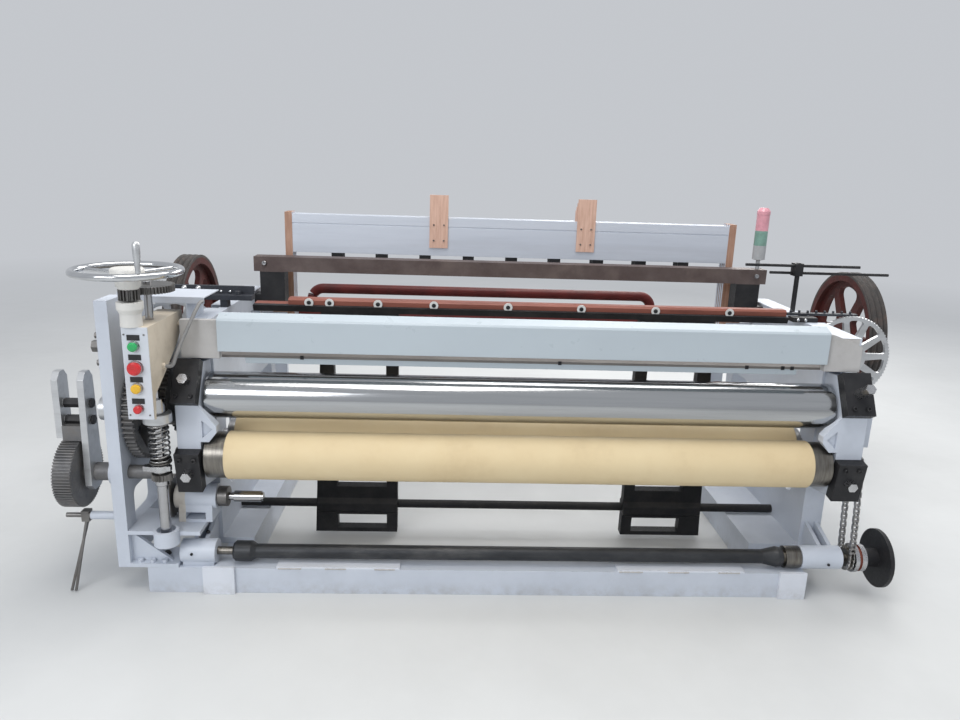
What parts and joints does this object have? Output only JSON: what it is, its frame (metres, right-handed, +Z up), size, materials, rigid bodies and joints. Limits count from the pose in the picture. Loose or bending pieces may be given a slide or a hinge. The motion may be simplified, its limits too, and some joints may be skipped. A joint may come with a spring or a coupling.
{
  "type": "wire mesh weaving machine",
  "caption": "Rapier weaving machine for wire mesh with front rollers, cloth wind-up, handwheel take-up, sley, heald frames and warp beam.",
  "frame": {"origin": "on the floor under the middle of the front base beam", "axes": "+X along the rollers to the right, +Y from the weaver to the warp beam, +Z up"},
  "size_m": [2.802, 1.531, 1.135],
  "materials": {
    "pale_paint": "satin",
    "panel_paint": "satin",
    "beige_paint": "satin",
    "black_paint": "satin",
    "red_paint": "satin",
    "brown_paint": "satin",
    "copper_board": "satin",
    "chrome": "polished",
    "bright_steel": "satin",
    "dark_steel": "satin",
    "grey_iron": "matte",
    "alloy": "satin",
    "cream_rubber": "matte",
    "stile_wood": "matte",
    "grey_plastic": "matte",
    "green_plastic": "gloss",
    "red_plastic": "gloss",
    "yellow_plastic": "gloss"
  },
  "bodies": {
    "frame": {"base_frame": "pale_paint", "side_frame_left": "pale_paint", "side_frame_right": "pale_paint", "outer_plate": "pale_paint", "breast_beam": "panel_paint", "roller_bracket_left": "pale_paint", "roller_bracket_right": "pale_paint", "pressure_plates": "black_paint", "pressure_screws": "bright_steel", "windup_housings": "pale_paint", "roller_chain": "dark_steel", "spindle_housing": "pale_paint", "shaft_bearings": "pale_paint", "control_column": "beige_paint", "handwheel_housing": "pale_paint", "control_conduit": "grey_plastic", "rapier_covers": "pale_paint", "brake_strut": "pale_paint", "drive_motor": "grey_iron", "rapier_gearboxes": "pale_paint", "rapier_guides": "grey_iron", "harness_beam": "brown_paint", "guide_posts": "stile_wood", "tower_light": "grey_plastic", "sensor_rods": "bright_steel"},
    "front_roller": {"front_roller_core": "bright_steel", "front_roller_rubber": "cream_rubber"},
    "chrome_roller_body": {"chrome_roller": "chrome", "worm_wheel": "dark_steel"},
    "rear_roller_body": {"rear_roller": "cream_rubber"},
    "windup": {"windup_shaft": "dark_steel", "friction_clutch": "dark_steel"},
    "spindle": {"spindle_shaft": "bright_steel", "spindle_ratchet": "dark_steel"},
    "upright": {"vertical_shaft": "bright_steel", "shaft_gear": "dark_steel", "shaft_spring": "bright_steel"},
    "pawl": {"pawl_bracket": "grey_iron"},
    "hand": {"handwheel": "chrome"},
    "grip": {"hand_grip": "chrome"},
    "green": {"button_green": "green_plastic"},
    "stop": {"button_stop": "red_plastic"},
    "yellow": {"button_yellow": "yellow_plastic"},
    "red": {"button_red": "red_plastic"},
    "rapier_drive": {"drive_pulley": "dark_steel", "lever_arms": "pale_paint"},
    "big_gear": {"main_gear": "grey_iron"},
    "pinion": {"motor_pinion": "dark_steel"},
    "sley": {"sley_frame": "black_paint", "sley_beam": "copper_board"},
    "wheel_left": {"rapier_wheel_left": "alloy"},
    "wheel_right": {"rapier_wheel_right": "alloy"},
    "heald_1": {"heald_frame_1": "alloy"},
    "heald_2": {"heald_frame_2": "alloy"},
    "heald_3": {"heald_frame_3": "alloy"},
    "heald_4": {"heald_frame_4": "alloy"},
    "warp": {"warp_beam": "dark_steel", "brake_drums": "red_paint"},
    "rest_bar": {"back_rest": "red_paint"}
  },
  "joints": [
    {"name": "front_roller_spin", "type": "hinge", "parent": "frame", "child": "front_roller", "pos_m": [0, 0.03, 0.406], "axis": [1, 0, 0], "continuous": true},
    {"name": "windup_spin", "type": "hinge", "parent": "frame", "child": "windup", "pos_m": [0, 0, 0.1154], "axis": [1, 0, 0], "continuous": true},
    {"name": "rear_roller_spin", "type": "hinge", "parent": "frame", "child": "rear_roller_body", "pos_m": [0, 0.178, 0.415], "axis": [1, 0, 0], "continuous": true},
    {"name": "handwheel_spin", "type": "hinge", "parent": "frame", "child": "hand", "pos_m": [-1.029, -0.1337, 0.952], "axis": [0, 0, 1], "continuous": true},
    {"name": "upright_spin", "type": "hinge", "parent": "frame", "child": "upright", "pos_m": [-1.018, -0.045, 0.6], "axis": [0, 0, 1], "continuous": true},
    {"name": "chrome_roller_spin", "type": "hinge", "parent": "frame", "child": "chrome_roller_body", "pos_m": [0, 0.067, 0.577], "axis": [1, 0, 0], "continuous": true},
    {"name": "grip_spin", "type": "hinge", "parent": "hand", "child": "grip", "pos_m": [-0.9589, -0.2396, 1], "axis": [0, 0, 1], "continuous": true},
    {"name": "pawl_swing", "type": "hinge", "parent": "frame", "child": "pawl", "pos_m": [-1.018, -0.045, 0.395], "axis": [0, 0, 1], "range_deg": [-10, 10]},
    {"name": "spindle_spin", "type": "hinge", "parent": "frame", "child": "spindle", "pos_m": [-0.95, 0.06, 0.262], "axis": [1, 0, 0], "continuous": true},
    {"name": "rapier_drive_swing", "type": "hinge", "parent": "frame", "child": "rapier_drive", "pos_m": [-1.2, 0.01, 0.357], "axis": [1, 0, 0], "range_deg": [-30, 30]},
    {"name": "main_gear_spin", "type": "hinge", "parent": "frame", "child": "big_gear", "pos_m": [-1.109, 0.118, 0.517], "axis": [1, 0, 0], "continuous": true},
    {"name": "motor_pinion_spin", "type": "hinge", "parent": "frame", "child": "pinion", "pos_m": [-1.109, 0.29654, 0.45202], "axis": [1, 0, 0], "continuous": true},
    {"name": "sley_swing", "type": "hinge", "parent": "frame", "child": "sley", "pos_m": [0, 0.33, 0.118], "axis": [1, 0, 0], "range_deg": [-8, 8]},
    {"name": "rapier_wheel_left_spin", "type": "hinge", "parent": "frame", "child": "wheel_left", "pos_m": [-1.078, 0.3, 0.673], "axis": [0, 1, 0], "range_deg": [-160, 160]},
    {"name": "rapier_wheel_right_spin", "type": "hinge", "parent": "frame", "child": "wheel_right", "pos_m": [1.078, 0.3, 0.673], "axis": [0, 1, 0], "range_deg": [-160, 160]},
    {"name": "warp_beam_spin", "type": "hinge", "parent": "frame", "child": "warp", "pos_m": [0, 1, 0.6], "axis": [1, 0, 0], "continuous": true},
    {"name": "back_rest_swing", "type": "hinge", "parent": "frame", "child": "rest_bar", "pos_m": [0, 0.88, 0.66], "axis": [1, 0, 0], "range_deg": [-6, 6]},
    {"name": "heald_1_lift", "type": "slide", "parent": "frame", "child": "heald_1", "axis": [0, 0, 1], "range_m": [-0.04, 0.04]},
    {"name": "heald_2_lift", "type": "slide", "parent": "frame", "child": "heald_2", "axis": [0, 0, 1], "range_m": [-0.04, 0.04]},
    {"name": "heald_3_lift", "type": "slide", "parent": "frame", "child": "heald_3", "axis": [0, 0, 1], "range_m": [-0.04, 0.04]},
    {"name": "heald_4_lift", "type": "slide", "parent": "frame", "child": "heald_4", "axis": [0, 0, 1], "range_m": [-0.04, 0.04]},
    {"name": "button_green_press", "type": "slide", "parent": "frame", "child": "green", "axis": [0, 1, 0], "range_m": [0, 0.004], "stiffness_N_per_m": 800},
    {"name": "button_stop_press", "type": "slide", "parent": "frame", "child": "stop", "axis": [0, 1, 0], "range_m": [0, 0.004], "stiffness_N_per_m": 800},
    {"name": "button_yellow_press", "type": "slide", "parent": "frame", "child": "yellow", "axis": [0, 1, 0], "range_m": [0, 0.004], "stiffness_N_per_m": 800},
    {"name": "button_red_press", "type": "slide", "parent": "frame", "child": "red", "axis": [0, 1, 0], "range_m": [0, 0.004], "stiffness_N_per_m": 800}
  ],
  "couplings": [
    {"joint": "windup_spin", "follows": "front_roller_spin", "ratio": 1},
    {"joint": "upright_spin", "follows": "handwheel_spin", "ratio": -0.35417},
    {"joint": "chrome_roller_spin", "follows": "handwheel_spin", "ratio": 0.0088542},
    {"joint": "motor_pinion_spin", "follows": "main_gear_spin", "ratio": -3.2222},
    {"joint": "rapier_wheel_right_spin", "follows": "rapier_wheel_left_spin", "ratio": -1},
    {"joint": "heald_2_lift", "follows": "heald_1_lift", "ratio": -1},
    {"joint": "heald_3_lift", "follows": "heald_1_lift", "ratio": 1},
    {"joint": "heald_4_lift", "follows": "heald_1_lift", "ratio": -1}
  ]
}
